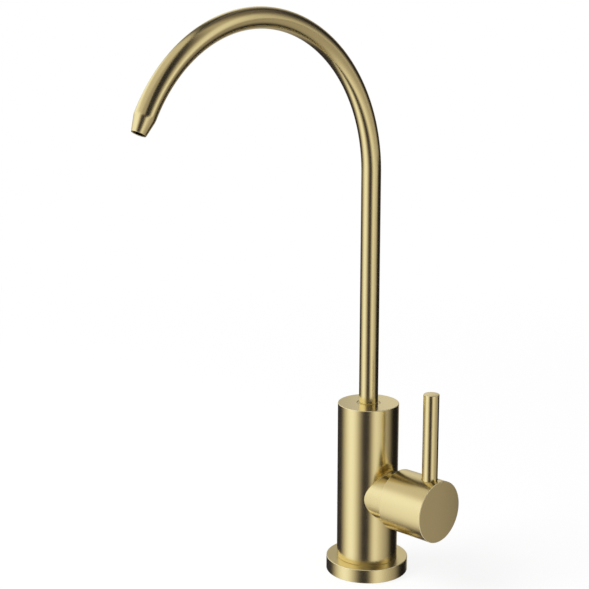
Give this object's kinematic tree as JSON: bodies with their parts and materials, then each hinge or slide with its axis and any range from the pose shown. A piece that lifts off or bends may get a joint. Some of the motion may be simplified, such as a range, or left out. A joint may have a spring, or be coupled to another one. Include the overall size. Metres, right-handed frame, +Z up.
{
  "type": "drinking water filter tap",
  "caption": "Slim gooseneck tap for filtered drinking water: swivelling swan-neck spout, round body on a base flange and a side handle with an upright lever.",
  "frame": {"origin": "centre of the shank thread's mouth, on the body's axis, in the plane of the base flange's underside where the tap stands on the worktop", "axes": "+Z up along the body's axis, -Y the way the spout points at rest, +X along the handle's axis towards its front"},
  "size_m": [0.0701, 0.174, 0.295],
  "materials": {
    "gold_steel": "satin brushed, pale gold coated",
    "valve_brass": "turned, uncoated",
    "seal_rubber": "matt black",
    "disc_ceramic": "lapped",
    "bearing_plastic": "natural white, moulded",
    "screw_steel": "plain stainless"
  },
  "bodies": {
    "tap_body": {"base_flange": "gold_steel", "flange_gasket": "seal_rubber", "valve_block": "valve_brass", "body_shell": "gold_steel", "side_neck": "gold_steel", "cartridge_barrel": "valve_brass", "barrel_o_ring": "seal_rubber", "disc_seal": "seal_rubber", "fixed_disc": "disc_ceramic", "slip_washer": "bearing_plastic", "thrust_washer": "bearing_plastic", "stem_bush": "bearing_plastic", "stem_lock_screw": "screw_steel"},
    "handle": {"handle_hub": "gold_steel", "lever_rod": "gold_steel", "drive_bush": "valve_brass", "spindle": "valve_brass", "spindle_o_rings": "seal_rubber", "spindle_clip": "screw_steel", "moving_disc": "disc_ceramic", "hub_grub_screw": "screw_steel"},
    "spout": {"spout_tube": "gold_steel", "spout_stem": "gold_steel", "stem_o_rings": "seal_rubber"}
  },
  "joints": [
    {"name": "spout_swivel", "type": "hinge", "parent": "tap_body", "child": "spout", "pos_m": [0, 0, 0.0756], "axis": [0, 0, 1], "continuous": true},
    {"name": "lever_turn", "type": "hinge", "parent": "tap_body", "child": "handle", "pos_m": [0, 0, 0.0443], "axis": [1, 0, 0], "range_deg": [0, 90]}
  ]
}
